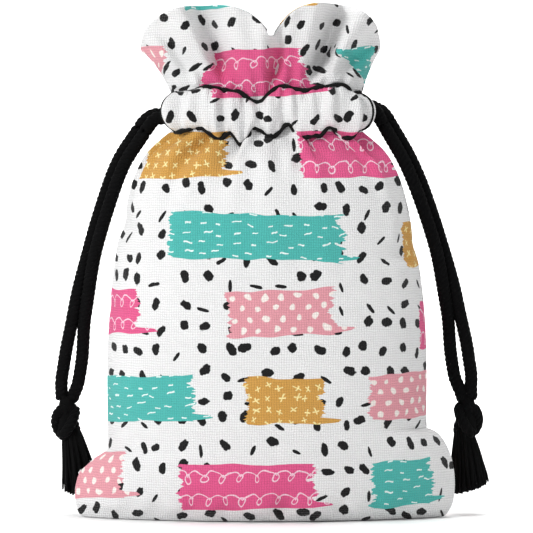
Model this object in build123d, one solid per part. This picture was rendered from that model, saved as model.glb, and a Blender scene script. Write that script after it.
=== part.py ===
"""Drawstring pouch for dice: a two-panel canvas bag, half drawn, with a gathered neck and two cords.

The front and back panels meet at two side seams and one bottom seam, so the lower corners stand out
as flat ears. Above the shoulders the cloth is sewn into a casing (a flattened tube) that holds both
cords, and it ends in a free ruffle. Each cord runs through the front and back casings, crosses the
far side slit as a bight, and leaves the near side slit as two strands, tied in a knot over a tassel.

Frame: +Z up, +X to the pouch's right as seen from the front, -Y towards the viewer. The origin is on
the floor, at the middle of the bottom seam. Millimetres.
"""

from build123d import *

import os
from math import asin, cos, degrees, pi, radians, sin, sqrt

# Driving dimensions
HEIGHT = 200.0  # floor to the top of the ruffle
CLOTH = 0.8  # canvas thickness
BELLY_HALF_WIDTH = 64.0
BELLY_HALF_DEPTH = 31.0
BELLY_Z = 50.0  # where the shoulders start to draw in
NECK_Z = 152.4  # top edge of the panels, just under the casing
CORD_DIAMETER = 5.0
KNOT_RADIUS = 6.2
TASSEL_LENGTH = 25.0

# Lower corners and base
EAR_REACH = 10.0  # how far an ear stands out past the belly
EAR_Z = 12.0  # height of its widest point
EAR_TOP_Z = 34.0
EAR_ROUND = 0.6
BASE_HALF_DEPTH = 22.0
EDGE_HALF_WIDTH_LOSS = 6.5  # the rounded bottom edge draws the ear's foot in by this much
LOWER_HALF_DEPTH = 29.5  # half depth where the rounded bottom edge ends, at EAR_Z
EAR_TIP_POWER = 0.85  # a pointed, lens-like section at the ears
BELLY_TIP_POWER = 0.55  # a nearly elliptical section at the belly
SEAM_TIP = 2.0  # cloth thickness at the side seams, where the two panels meet

# Neck: the casing is a tube swept along a stadium-shaped ring
CASING_HEIGHT = 12.6
CASING_THICKNESS = 8.0
CASING_CORNER = 2.8  # corner radius of the flattened tube, outside
CASING_CORNER_INSIDE = 2.0
CASING_BOTTOM = NECK_Z + 0.1
CASING_MIDDLE = CASING_BOTTOM + CASING_HEIGHT / 2
RING_RADIUS = 14.0  # of the ring's centreline at both ends, and its half depth
RING_STRAIGHT = 23.0  # half length of the ring's straight sides
SLIT_HALF = 7.0  # half the slit's width, along Y, at each side seam
FIT_GAP = 0.05  # between pieces that would otherwise touch
NECK_HALF_WIDTH = RING_STRAIGHT + RING_RADIUS + CASING_THICKNESS / 2 - 0.5
NECK_HALF_DEPTH = RING_RADIUS + CASING_THICKNESS / 2
SHOULDER_POWER = 2.4
SHOULDER_ROUND = 0.73

# Ruffle
RUFFLE_BOTTOM = CASING_BOTTOM + CASING_HEIGHT + 0.1
RUFFLE_CLOTH = 1.6  # folded double
RUFFLE_HALF_WIDTHS = (38.5, 43.5, 47.0, 47.5, 46.0)  # evenly spaced, from the casing up
RUFFLE_HALF_DEPTHS = (15.5, 18.5, 22.0, 24.5, 26.0)
RUFFLE_TIP_POWER = 0.42
LOBE_X = 24.0  # where each lobe of the hem is highest
HEM_DIP_Z = 184.0
HEM_SIDE_Z = 186.0

# Cords
CORD_LEVEL = CORD_DIAMETER / 2 + 0.1  # each cord's height above or below the casing's middle
STRAND_HALF_PITCH = CORD_DIAMETER / 2 + 0.15  # half the distance between two strands side by side
TAIL_X = 48.9  # where a tail starts to swing, from the middle
TAIL_DROP = 5.6  # and how far under its cord's level
BEND_RADIUS = 5.0  # of the cord as it turns down outside the casing
# One tail's centreline below its hinge, as (distance from the middle, Y, Z), down to the knot.
TAIL_PATH = (
    (56.0, 0.8, 139.0),
    (62.5, 2.5, 122.0),
    (68.8, 5.0, 102.0),
    (73.2, 7.5, 80.0),
    (75.8, 10.0, 60.0),
    (77.2, 11.5, 46.4),
)
# The strands start one behind the other and end side by side: degrees at the hinge and at each point.
STRAND_TURNS = (90, 60, 25, 0, 0, 0, 0)
KNOT_CENTRE = (77.2, 11.5, 39.8)
KNOT_HEIGHT_BELOW = 8.6  # knot centre to its underside
KNOT_BOTTOM_RADIUS = 3.7
KNOT_SHOULDER = (5.9, -5.6)  # radius and height of a point on the knot's lower curve
TASSEL_TOP_RADIUS = 4.8
TASSEL_RADIUS = 8.0

# Thread
STITCH_RADIUS = 0.6
TACK_SIDE = 1.0
SEAM_ALLOWANCE = 4.0
SEAM_THICKNESS = 1.0
SEAM_CLEARANCE = 1.2

SECTION_POINTS = 18
# Heights of the sections that a panel is lofted through: close together round the bottom edge, then
# evenly spaced, because uneven steps would make the loft ripple.
EDGE_LEVELS = (0, CLOTH, 2.5, 5, 8.5)
EVEN_STEPS = 24
EVEN_STEP = (NECK_Z - EAR_Z) / EVEN_STEPS
PANEL_LEVELS = (*EDGE_LEVELS, *(EAR_Z + EVEN_STEP * i for i in range(EVEN_STEPS + 1)))
SIDES = {"left": -1, "right": 1}


def share(low, high, value):
    """Where value lies between low and high, held to 0 and 1."""
    return min(1.0, max(0.0, (value - low) / (high - low)))


def shoulder(z):
    """1 at the belly, falling to 0 at the neck with a full, rounded shoulder."""
    return (1 - share(BELLY_Z, NECK_Z, z) ** SHOULDER_POWER) ** SHOULDER_ROUND


def edge_round(z):
    """0 on the floor, rising to 1 at EAR_Z along a quarter circle."""
    return sqrt(1 - (1 - share(0, EAR_Z, z)) ** 2)


def ear(z):
    """How far the side seam stands out past the belly at this height."""
    if z < EAR_Z:
        return EAR_REACH - EDGE_HALF_WIDTH_LOSS * (1 - edge_round(z))
    return EAR_REACH * (1 - share(EAR_Z, EAR_TOP_Z, z) ** 2) ** EAR_ROUND


def pouch_half_width(z):
    return NECK_HALF_WIDTH + (BELLY_HALF_WIDTH - NECK_HALF_WIDTH) * shoulder(z) + ear(z)


def pouch_half_depth(z):
    if z < EAR_Z:
        return BASE_HALF_DEPTH + (LOWER_HALF_DEPTH - BASE_HALF_DEPTH) * edge_round(z)
    if z < BELLY_Z:
        swell = share(EAR_Z, BELLY_Z, z)
        return LOWER_HALF_DEPTH + (BELLY_HALF_DEPTH - LOWER_HALF_DEPTH) * swell * (2 - swell)
    return NECK_HALF_DEPTH + (BELLY_HALF_DEPTH - NECK_HALF_DEPTH) * shoulder(z)


def tip_power(z):
    """Sections are pointed at the ears and rounder above them."""
    return EAR_TIP_POWER + (BELLY_TIP_POWER - EAR_TIP_POWER) * share(EAR_Z, BELLY_Z, z)


def half_section(half_width, half_depth, power, z):
    """The front half (y <= 0) of a closed horizontal section, as a face."""
    steps = [i / SECTION_POINTS for i in range(SECTION_POINTS + 1)]
    points = [
        Vector(-half_width * cos(pi * t), -half_depth * abs(sin(pi * t)) ** (2 * power), z) for t in steps
    ]
    # The same parameters in every section keep a loft through many sections from rippling.
    curve = Edge.make_spline(points, parameters=steps)
    return make_face([curve, Edge.make_line(points[-1], points[0])])


def front_panel():
    """The front cloth: half of the pouch's shell, with half of its flat base."""
    outer = [half_section(pouch_half_width(z), pouch_half_depth(z), tip_power(z), z) for z in PANEL_LEVELS]
    inner_levels = [z for z in PANEL_LEVELS if z >= CLOTH]
    inner = [
        half_section(pouch_half_width(z) - SEAM_TIP, pouch_half_depth(z) - CLOTH, tip_power(z), z)
        for z in inner_levels
    ]
    return loft(outer) - loft(inner)


def ring_path(offset, z, gap):
    """The front half of the neck's ring, from the left slit to the right one, as a path."""
    radius = RING_RADIUS + offset
    start = degrees(asin(gap / radius))
    return (
        Curve()
        + CenterArc((-RING_STRAIGHT, 0, z), radius, 180 + start, 90 - start)
        + Line((-RING_STRAIGHT, -radius, z), (RING_STRAIGHT, -radius, z))
        + CenterArc((RING_STRAIGHT, 0, z), radius, 270, 90 - start)
    )


def along(path, profile):
    """Sweeps profile along path. The profile's own X points up where the path starts."""
    start = Plane(origin=path @ 0, x_dir=(0, 0, 1), z_dir=path % 0)
    return sweep(start * profile, path=path)


def front_casing():
    """The front channel for the cords: a flattened tube, open at both side slits."""
    path = ring_path(0, CASING_MIDDLE, SLIT_HALF)
    hollow_height = CASING_HEIGHT - 2 * CLOTH
    hollow_thickness = CASING_THICKNESS - 2 * CLOTH
    outer = RectangleRounded(CASING_HEIGHT, CASING_THICKNESS, CASING_CORNER)
    inner = RectangleRounded(hollow_height, hollow_thickness, CASING_CORNER_INSIDE)
    return along(path, outer) - along(path, inner)


def front_stitch(z):
    """One row of thick black thread round the outside of the front casing."""
    outside = CASING_THICKNESS / 2 + STITCH_RADIUS + FIT_GAP
    return along(ring_path(outside, z, SLIT_HALF), Circle(STITCH_RADIUS))


def hem_outline():
    """The ruffle's front outline: two round lobes with a dip between them."""
    side = RUFFLE_HALF_WIDTHS[3] + 1.0
    bottom = RUFFLE_BOTTOM
    outline = [
        Line((0, 0, HEM_DIP_Z), (0, 0, bottom)),
        Line((0, 0, bottom), (side, 0, bottom)),
        Line((side, 0, bottom), (side, 0, HEM_SIDE_Z)),
        ThreePointArc((side, 0, HEM_SIDE_Z), (LOBE_X, 0, HEIGHT), (0, 0, HEM_DIP_Z)),
    ]
    lobe = extrude(make_face(outline), amount=BELLY_HALF_DEPTH, dir=(0, -1, 0))
    return lobe + mirror(lobe, about=Plane.YZ)


def front_ruffle():
    """The free, flared edge of the front cloth above the casing, folded double."""
    step = (HEIGHT - RUFFLE_BOTTOM) / (len(RUFFLE_HALF_WIDTHS) - 1)
    sizes = list(enumerate(zip(RUFFLE_HALF_WIDTHS, RUFFLE_HALF_DEPTHS)))
    outer = [half_section(w, d, RUFFLE_TIP_POWER, RUFFLE_BOTTOM + i * step) for i, (w, d) in sizes]
    inner = [
        half_section(w - RUFFLE_CLOTH, d - RUFFLE_CLOTH, RUFFLE_TIP_POWER, RUFFLE_BOTTOM + i * step)
        for i, (w, d) in sizes
    ]
    return (loft(outer) - loft(inner)) & hem_outline()


def side_seam(side):
    """The overlocked seam allowance of both panels, a strip inside the pouch at one side."""
    inset = SEAM_TIP + SEAM_CLEARANCE + SEAM_ALLOWANCE / 2
    levels = [z for z in PANEL_LEVELS if SEAM_ALLOWANCE < z < NECK_Z - 1]
    strip = [
        Pos(side * (pouch_half_width(z) - inset), 0, z) * Rectangle(SEAM_ALLOWANCE, SEAM_THICKNESS)
        for z in levels
    ]
    return loft(strip)


def bottom_seam():
    """The seam allowance along the middle of the base, inside the pouch."""
    length = 2 * (BELLY_HALF_WIDTH - SEAM_CLEARANCE)
    return Pos(0, 0, CLOTH + 0.2) * Box(
        length, SEAM_THICKNESS, SEAM_ALLOWANCE, align=(Align.CENTER, Align.CENTER, Align.MIN)
    )


def separate(shapes):
    """Several solids in one part."""
    return Compound(children=[Solid(shape.solid().wrapped) for shape in shapes])


def slit_tacks(side):
    """Two bars of thread that close one side slit above and below the cords."""
    x = side * (RING_STRAIGHT + RING_RADIUS)
    bar = Box(TACK_SIDE, 2 * SLIT_HALF - 0.2, TACK_SIDE)
    inset = TACK_SIDE / 2
    heights = (CASING_BOTTOM + inset, CASING_BOTTOM + CASING_HEIGHT - inset)
    return separate([Pos(x, 0, z) * bar for z in heights])


def cord_level(side):
    """The height of the cord that leaves at this side: the left cord lies under the right one."""
    return CASING_MIDDLE + side * CORD_LEVEL


def cord_front_run(level):
    """The part of a cord hidden in the front casing."""
    return along(ring_path(0, level, SLIT_HALF + FIT_GAP), Circle(CORD_DIAMETER / 2))


def cord_bight(side, level):
    """Where a cord crosses the slit at one side, from the front casing to the back casing."""
    turn = degrees(asin((SLIT_HALF - FIT_GAP) / RING_RADIUS))
    start = (180 - turn) if side < 0 else -turn
    path = CenterArc((side * RING_STRAIGHT, 0, level), RING_RADIUS, start, 2 * turn)
    return along(path, Circle(CORD_DIAMETER / 2))


def tail_path(side):
    """The tail's centre points, from its hinge to the knot."""
    return [(TAIL_X, 0, cord_level(side) - TAIL_DROP), *TAIL_PATH]


def path_direction(side, i):
    """The tail's direction near one of its centre points, seen from the front."""
    path = tail_path(side)
    before, after = path[max(i - 1, 0)], path[min(i + 1, len(path) - 1)]
    return Vector(after[0] - before[0], 0, after[2] - before[2]).normalized()


def strand_points(side, strand):
    """Centre points of one strand outside the casing. strand is -1 or 1."""
    points = []
    for i, ((x, y, z), turn) in enumerate(zip(tail_path(side), STRAND_TURNS)):
        direction = path_direction(side, i)
        across = strand * STRAND_HALF_PITCH * cos(radians(turn))
        back = strand * STRAND_HALF_PITCH * sin(radians(turn))
        points.append(Vector(side * (x - across * direction.Z), y + back, z + across * direction.X))
    return points


def start_direction(side):
    """The direction in which both strands run through their hinge."""
    direction = path_direction(side, 0)
    return Vector(side * direction.X, 0, direction.Z)


def exit_strand(side, strand):
    """A strand that leaves its casing, turns outwards, then bends down to just above the tail's hinge."""
    level = cord_level(side)
    lean = asin(SLIT_HALF / RING_RADIUS)
    y = strand * STRAND_HALF_PITCH
    slit = Vector(side * (RING_STRAIGHT + RING_RADIUS * cos(lean)), strand * SLIT_HALF, level)
    leaving = Vector(side * sin(lean), -strand * cos(lean), 0)
    turned = Vector(slit.X + side * (SLIT_HALF - abs(y)) * sqrt(3), y, level)  # a turn of 60 degrees

    down = start_direction(side)
    hinge = strand_points(side, strand)[0]
    corner = hinge + down * ((level - hinge.Z) / down.Z)
    bend = BEND_RADIUS * sqrt((1 - abs(down.X)) / (1 + abs(down.X)))
    bend_start = corner - Vector(side * bend, 0, 0)
    bend_end = corner + down * bend
    cut = hinge - down * (CORD_DIAMETER / 2 + FIT_GAP)
    path = (
        Curve()
        + TangentArc(slit, turned, tangent=leaving)
        + Line(turned, bend_start)
        + TangentArc(bend_start, bend_end, tangent=(side, 0, 0))
        + Line(bend_end, cut)
    )
    return along(path, Circle(CORD_DIAMETER / 2))


def tail_strand(side, strand):
    """One strand of a tail, from the ball that it swings on, down to the knot."""
    points = strand_points(side, strand)
    path = Spline(*points, tangents=(start_direction(side), points[-1] - points[-2]))
    ball = Pos(*points[0]) * Sphere(CORD_DIAMETER / 2)
    return along(path, Circle(CORD_DIAMETER / 2)) + ball


def knot(side):
    """An overhand knot of both strands. Its top is half a sphere, so that it turns under them."""
    x, y, z = KNOT_CENTRE
    below = KNOT_HEIGHT_BELOW
    outline = [
        CenterArc((0, 0, 0), KNOT_RADIUS, 0, 90),
        Line((0, KNOT_RADIUS), (0, -below)),
        Line((0, -below), (KNOT_BOTTOM_RADIUS, -below)),
        ThreePointArc((KNOT_BOTTOM_RADIUS, -below), KNOT_SHOULDER, (KNOT_RADIUS, 0)),
    ]
    profile = Plane.XZ * make_face(outline)
    return Pos(side * x, y, z) * revolve(profile, axis=Axis.Z)


def tassel(side):
    """The cord's combed-out end below the knot."""
    x, y, z = KNOT_CENTRE
    middle = z - KNOT_HEIGHT_BELOW - 0.2 - TASSEL_LENGTH / 2
    return Pos(side * x, y, middle) * Cone(TASSEL_RADIUS, TASSEL_TOP_RADIUS, TASSEL_LENGTH)


def write(name, shape):
    export_step(shape, os.path.join("parts", f"{name}.step"))


def write_front_and_back(name, shape):
    """Writes front_NAME, and its mirror image as back_NAME."""
    write(f"front_{name}", shape)
    write(f"back_{name}", mirror(shape, about=Plane.XZ))


os.makedirs("parts", exist_ok=True)
write_front_and_back("panel", front_panel())
write_front_and_back("casing", front_casing())
write_front_and_back("ruffle", front_ruffle())
write_front_and_back("lower_stitch", front_stitch(CASING_BOTTOM + 2 * STITCH_RADIUS))
write_front_and_back("upper_stitch", front_stitch(CASING_BOTTOM + CASING_HEIGHT - 2 * STITCH_RADIUS))
write("bottom_seam", bottom_seam())
for word, side in SIDES.items():
    write(f"{word}_side_seam", side_seam(side))
    write(f"{word}_slit_tacks", slit_tacks(side))
    run = cord_front_run(cord_level(side))
    write(f"{word}_cord_front_run", run)
    write(f"{word}_cord_back_run", mirror(run, about=Plane.XZ))
    write(f"{word}_cord_bight", cord_bight(-side, cord_level(side)))
    write(f"{word}_cord_exit", separate([exit_strand(side, -1), exit_strand(side, 1)]))
    write(f"{word}_outer_strand", tail_strand(side, 1))
    write(f"{word}_inner_strand", tail_strand(side, -1))
    write(f"{word}_knot", knot(side))
    write(f"{word}_tassel", tassel(side))
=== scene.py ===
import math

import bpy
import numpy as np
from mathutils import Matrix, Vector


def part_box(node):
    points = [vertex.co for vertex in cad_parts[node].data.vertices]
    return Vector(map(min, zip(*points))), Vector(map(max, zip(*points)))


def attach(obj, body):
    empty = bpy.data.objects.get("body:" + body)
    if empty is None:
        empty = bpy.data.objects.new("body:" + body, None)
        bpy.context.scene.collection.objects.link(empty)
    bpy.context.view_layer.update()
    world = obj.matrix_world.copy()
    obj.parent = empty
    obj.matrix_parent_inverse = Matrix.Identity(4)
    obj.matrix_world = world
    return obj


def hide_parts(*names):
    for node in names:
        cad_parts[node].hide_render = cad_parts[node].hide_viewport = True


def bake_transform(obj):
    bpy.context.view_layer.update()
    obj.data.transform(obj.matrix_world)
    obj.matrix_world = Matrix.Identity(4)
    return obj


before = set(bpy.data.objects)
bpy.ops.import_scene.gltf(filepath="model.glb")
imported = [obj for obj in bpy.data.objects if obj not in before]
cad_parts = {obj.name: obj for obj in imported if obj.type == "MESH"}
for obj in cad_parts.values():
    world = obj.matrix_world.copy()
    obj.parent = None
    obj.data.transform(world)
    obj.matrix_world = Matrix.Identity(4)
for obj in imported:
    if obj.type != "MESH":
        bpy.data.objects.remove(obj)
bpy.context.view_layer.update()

# A drawstring dice bag of printed canvas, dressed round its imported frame.
#
# The canvas is one sheet per face: the body, the puffed casing between two wavy sewn lines, and the
# frilled ruffle. Each is a closed shell of real thickness. Shapes are worked out in millimetres from the
# frame's boxes, and become metres when a mesh is made. x runs to the right, y away, z up.

MM = 0.001
FACES = {"front": -1, "back": 1}
SIDES = {"left": -1, "right": 1}


def box_mm(node):
    """A node's lowest and highest corners, in millimetres."""
    low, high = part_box(node)
    return np.array(low) / MM, np.array(high) / MM


# ---- sizes from the frame

PANEL_LOW, PANEL_HIGH = box_mm("front_panel")
CASING_LOW, CASING_HIGH = box_mm("front_casing")
RUN_LOW, RUN_HIGH = box_mm("left_cord_front_run")
UPPER_RUN_LOW, UPPER_RUN_HIGH = box_mm("right_cord_front_run")
BIGHT_HIGH = box_mm("left_cord_bight")[1]
TACK_HIGH = box_mm("right_slit_tacks")[1]

CLOTH = 0.8
NECK_Z = PANEL_HIGH[2]
CASING_Z = (CASING_LOW[2] + CASING_HIGH[2]) / 2
HEM_Z = box_mm("front_ruffle")[1][2]
BELLY_DEPTH = -PANEL_LOW[1]
BELLY_HALF_WIDTH = PANEL_HIGH[0] - 10.0  # the panel's own width is that of its lower corners
CORD_RADIUS = (RUN_HIGH[2] - RUN_LOW[2]) / 2
# The neck is a flat ring, here round the middle of its cords: straight in front and behind, round at
# its ends, where the slits are.
RING_RADIUS = -RUN_LOW[1] - CORD_RADIUS
RING_STRAIGHT = BIGHT_HIGH[0] - CORD_RADIUS - RING_RADIUS
RING_QUARTER = RING_STRAIGHT + RING_RADIUS * math.pi / 2  # from the middle to the side seam
SLIT_HALF = TACK_HIGH[1] + 0.1
SLIT_TURN = math.asin(SLIT_HALF / RING_RADIUS)
SLIT_T = (RING_STRAIGHT + RING_RADIUS * math.acos(SLIT_HALF / RING_RADIUS)) / RING_QUARTER
LEVELS = {  # each cord's height in the casing
    "left": (RUN_LOW[2] + RUN_HIGH[2]) / 2,
    "right": (UPPER_RUN_LOW[2] + UPPER_RUN_HIGH[2]) / 2,
}

# ---- small maths


def ease(low, high, value):
    """0 below low, 1 above high, and smooth between them."""
    t = np.clip((value - low) / (high - low), 0, 1)
    return t * t * (3 - 2 * t)


def through(points, value):
    """A smooth curve through (place, height) points, level at each of them."""
    places, heights = np.array(points).T
    i = np.clip(np.searchsorted(places, value) - 1, 0, len(places) - 2)
    return heights[i] + (heights[i + 1] - heights[i]) * ease(places[i], places[i + 1], value)


def waves(u, length, phase):
    """Uneven gathers along u, between about -1 and 1, with roughly this wave length."""
    k = 2 * np.pi / length
    return (
        np.sin(k * u + phase)
        + 0.6 * np.sin(0.63 * k * u + 2.1 * phase + 1.0)
        + 0.4 * np.sin(1.57 * k * u + 0.7 * phase + 2.0)
    ) / 1.6


def ring(t, offset):
    """A point of the neck's ring, offset outwards. t is -1 at the left seam and 1 at the right one.
    Gives x, and the depth towards the face that is asked for."""
    s = np.abs(t) * RING_QUARTER
    angle = np.maximum(s - RING_STRAIGHT, 0) / RING_RADIUS
    x = np.minimum(s, RING_STRAIGHT) + (RING_RADIUS + offset) * np.sin(angle)
    return np.sign(t) * x, (RING_RADIUS + offset) * np.cos(angle)


def surface_normals(points):
    """Unit normals of a grid of points, rows first."""
    across = np.gradient(points, axis=1)
    along = np.gradient(points, axis=0)
    normal = np.cross(across, along)
    length = np.linalg.norm(normal, axis=2, keepdims=True)
    return normal / np.maximum(length, 1e-9)


# ---- meshes


def new_object(name, points, faces, materials, uv=None, face_material=None, normals=None):
    """A mesh object from points in millimetres. uv, in cloth millimetres, and normals are per corner."""
    mesh = bpy.data.meshes.new(name)
    mesh.from_pydata((np.asarray(points) * MM).tolist(), [], faces)
    for material in materials:
        mesh.materials.append(material)
    mesh.polygons.foreach_set("use_smooth", [True] * len(mesh.polygons))
    if face_material is not None:
        mesh.polygons.foreach_set("material_index", face_material)
    if uv is not None:
        layer = mesh.uv_layers.new(name="Cloth")
        layer.data.foreach_set("uv", (np.asarray(uv) * MM).astype(np.float32).ravel())
    if normals is not None:
        mesh.normals_split_custom_set(normals.tolist())
    mesh.validate()
    obj = bpy.data.objects.new(name, mesh)
    bpy.context.scene.collection.objects.link(obj)
    return obj


def stand_in(node):
    """Hides a node of the CAD, whose place a new piece takes."""
    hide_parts(node)


def grid_quads(index):
    """Four-sided faces between the points of a grid, from the points' numbers."""
    corners = index[:-1, :-1], index[:-1, 1:], index[1:, 1:], index[1:, :-1]
    return np.stack(corners, axis=-1).reshape(-1, 4)


def shell(name, outer, inner, uv_outer, uv_inner, materials, outward):
    """A closed sheet between two grids of points. outward is 1 if the normals of outer's grid point
    outwards, and -1 if they point inwards. The rim takes the second material, like the inner face."""
    rows, columns = outer.shape[:2]
    count = rows * columns
    points = np.concatenate([outer.reshape(-1, 3), inner.reshape(-1, 3)])
    normals = np.concatenate([
        surface_normals(outer).reshape(-1, 3) * outward,
        surface_normals(inner).reshape(-1, 3) * -outward,
    ])
    uvs = np.concatenate([uv_outer.reshape(-1, 2), uv_inner.reshape(-1, 2)])

    index = np.arange(count).reshape(rows, columns)
    quads = grid_quads(index)
    if outward < 0:
        quads = quads[:, ::-1]
    border = np.concatenate([index[0, :], index[1:, -1], index[-1, -2::-1], index[-2:0:-1, 0]])
    after = np.roll(border, -1)
    rim = np.stack([after, border, border + count, after + count], axis=-1)
    if outward < 0:
        rim = rim[:, ::-1]
    faces = np.concatenate([quads, quads[:, ::-1] + count, rim])

    corner_normals = normals[faces]
    rim_corners = points[faces[-len(rim):]]
    flat = np.cross(rim_corners[:, 1] - rim_corners[:, 0], rim_corners[:, 3] - rim_corners[:, 0])
    flat /= np.maximum(np.linalg.norm(flat, axis=1, keepdims=True), 1e-9)
    corner_normals[-len(rim):] = flat[:, None, :]
    material = np.arange(len(faces)) >= len(quads)
    return new_object(
        name, points, faces.tolist(), materials, uvs[faces].reshape(-1, 2), material.astype(int),
        corner_normals.reshape(-1, 3),
    )


def path_tangents(points):
    tangents = np.gradient(points, axis=0)
    return tangents / np.linalg.norm(tangents, axis=1, keepdims=True)


def path_frames(points):
    """Two side directions for each point of a path, carried along it without twisting."""
    tangents = path_tangents(points)
    side = np.cross(tangents[0], [0.0, 0.3, 1.0])
    sides = []
    for tangent in tangents:
        side = side - tangent * (side @ tangent)
        side /= np.linalg.norm(side)
        sides.append(side)
    sides = np.array(sides)
    return sides, np.cross(tangents, sides)


def ring_faces(rings, sides, start=0):
    """Faces of a capped tube made of rings, whose points are numbered from start."""
    index = start + np.arange(rings * sides).reshape(rings, sides)
    turned = np.roll(index, -1, axis=1)
    quads = np.stack([index[:-1], turned[:-1], turned[1:], index[1:]], axis=-1).reshape(-1, 4)
    return quads.tolist() + [index[0, ::-1].tolist(), index[-1].tolist()]


def tube_parts(points, radius, sides, start=0):
    """Points and faces of a round tube along a path. radius is one number, or one for each point."""
    across, up = path_frames(points)
    angles = np.arange(sides)[None, :, None] * 2 * np.pi / sides
    reach = np.broadcast_to(radius, len(points))[:, None, None]
    spokes = np.cos(angles) * across[:, None, :] + np.sin(angles) * up[:, None, :]
    rings = points[:, None, :] + reach * spokes
    return rings.reshape(-1, 3), ring_faces(len(points), sides, start)


def bundle(name, tubes, material, node):
    """One mesh of many tubes, given as (points, radius, sides), in the place of a node of the CAD."""
    all_points, all_faces, count = [], [], 0
    for points, radius, sides in tubes:
        rings, faces = tube_parts(points, radius, sides, count)
        all_points.append(rings)
        all_faces += faces
        count += len(rings)
    piece = new_object(name, np.concatenate(all_points), all_faces, [material])
    stand_in(node)
    return piece


def evenly(points, step):
    """The same path with points at even steps along it."""
    lengths = np.concatenate([[0], np.cumsum(np.linalg.norm(np.diff(points, axis=0), axis=1))])
    places = np.linspace(0, lengths[-1], max(int(lengths[-1] / step), 2) + 1)
    return np.stack([np.interp(places, lengths, points[:, k]) for k in range(3)], axis=1)


def between(a, b, c, d, t):
    """A Catmull-Rom curve from b, at t = 0, to c, at t = 1. a and d are the points before and after."""
    return b + 0.5 * t * (c - a + t * (2 * a - 5 * b + 4 * c - d + t * (3 * (b - c) + d - a)))


def smooth_path(points, samples):
    """A Catmull-Rom curve through points, with this many samples from each to the next."""
    padded = np.concatenate([[2 * points[0] - points[1]], points, [2 * points[-1] - points[-2]]])
    t = np.linspace(0, 1, samples, endpoint=False)[:, None]
    pieces = [between(*four, t) for four in zip(padded, padded[1:], padded[2:], padded[3:])]
    return np.concatenate(pieces + [points[-1:]])


# ---- the canvas: shapes

COLUMNS = 97  # of each half of a sheet, counted at the seam and at the middle
BASE_ROWS = 10
EDGE_ROWS = 9
BODY_STEP = 1.6
BASE_DEPTH = 22.0  # half depths of the base, of the top of its rounded edge, and of the neck
LOWER_DEPTH = 29.5
NECK_DEPTH = RING_RADIUS + 4.0
NECK_HALF_WIDTH = RING_STRAIGHT + RING_RADIUS + 3.5
EDGE_Z = 12.0  # height of the rounded bottom edge
BELLY_Z = 50.0
PINCH_START = 112.0  # from here up, the body turns into the tight ring under the casing
# How full the body's cross section is, at its bottom edge and from the belly up: 1 is a lens, 0.5 an
# ellipse.
EDGE_POWER = 0.85
BELLY_POWER = 0.55
SEAM_BULGE = 3.0  # how far the two faces stand apart at least, away from the seam
SEAM_BULGE_WIDTH = 5.0
SEAM_SINK = 0.5  # the side seam draws its edge in
SEAM_SINK_WIDTH = 1.2
BODY_GATHER_LENGTH = 9.0
BODY_GATHER_PHASES = {-1: 0.4, 1: 2.2}
BODY_GATHER_DEPTH = 1.5
BODY_WAVE_DEPTH = 0.25  # the same waves, faint, further down
SEWN_OFFSET = -0.8  # where the cloth is sewn down, counted outwards from the ring's middle
TUCK_HEIGHT = 5.0  # the body's top edge is turned in behind the casing
TUCK_DEPTH = 4.4

SETTLE_COLUMNS = 33
SETTLE_HEIGHTS = np.concatenate([
    [-BASE_DEPTH, -BASE_DEPTH / 2, 0.0, 2.5, 6.0],
    np.linspace(EDGE_Z, NECK_Z, 29),
])
SETTLE_SCALE = 10.0  # the solver works best on something about two metres tall
SETTLE_FRAMES = 20
SETTLE_EXTRA_CLOTH = -0.05
SETTLE_HELD_Z = 6.0  # the cloth lower than this stays where it is
SETTLE_CAP = 3.0  # the furthest that the cloth may move, in millimetres
SETTLE_SIDEWAYS = 0.35  # the filling keeps the pouch from drawing in at its sides

# Each lower corner stands out as an ear: reach past the belly, height of its tip, of its top, and how
# far its foot draws back in.
EARS = {-1: (11.4, 9.5, 27.0, 3.8), 1: (9.6, 14.0, 36.0, 5.4)}

# The two sewn lines round the casing, as (x, z): the gathers pull them up and down.
LOWER_LINE = (
    (-39, 153.0), (-34, 150.0), (-26, 151.5), (-18, 147.2), (-14.5, 149.8), (-9.5, 144.8), (-5, 151.6),
    (2, 148.2), (8.5, 153.0), (12, 147.8), (20, 148.4), (24, 152.0), (30, 147.6), (36, 151.4), (39, 153.0),
)
UPPER_LINE = (
    (-39, 165.0), (-30, 166.0), (-24, 167.2), (-12, 165.4), (-4, 161.2), (5.5, 167.4), (14, 165.8),
    (21, 167.0), (28, 168.0), (33, 165.0), (39, 165.0),
)
# Where the thread of a row is out of sight, as ranges of x.
THREAD_GAPS = {
    "lower": ((-28.8, -26.8), (-6.4, -5.2), (10.6, 11.8), (26.4, 29.2)),
    "upper": ((-40.0, -24.5), (-18.0, -17.0), (21.4, 22.6), (31.6, 33.2)),
}
THREAD_RADIUS = 1.0
THREAD_STAND_OFF = 1.5  # from the sewn line, outwards
THREAD_DIVE = 2.4

CASING_OUTER = (4.9, 3.2)  # how far the walls' outer skins stand off the sewn line, outwards and inwards
CASING_INNER = (4.1, 2.4)
CASING_FLAT = 0.86  # the inner skins are this much lower than the outer ones
CASING_MOUTH = 2.4  # how much wider the casing is at its open ends
CASING_PUFF = 0.30
CASING_PLEATS = 0.35
MOUTH_T = (0.55, 0.84)  # where along t it begins to widen, and where it's wide

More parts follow.
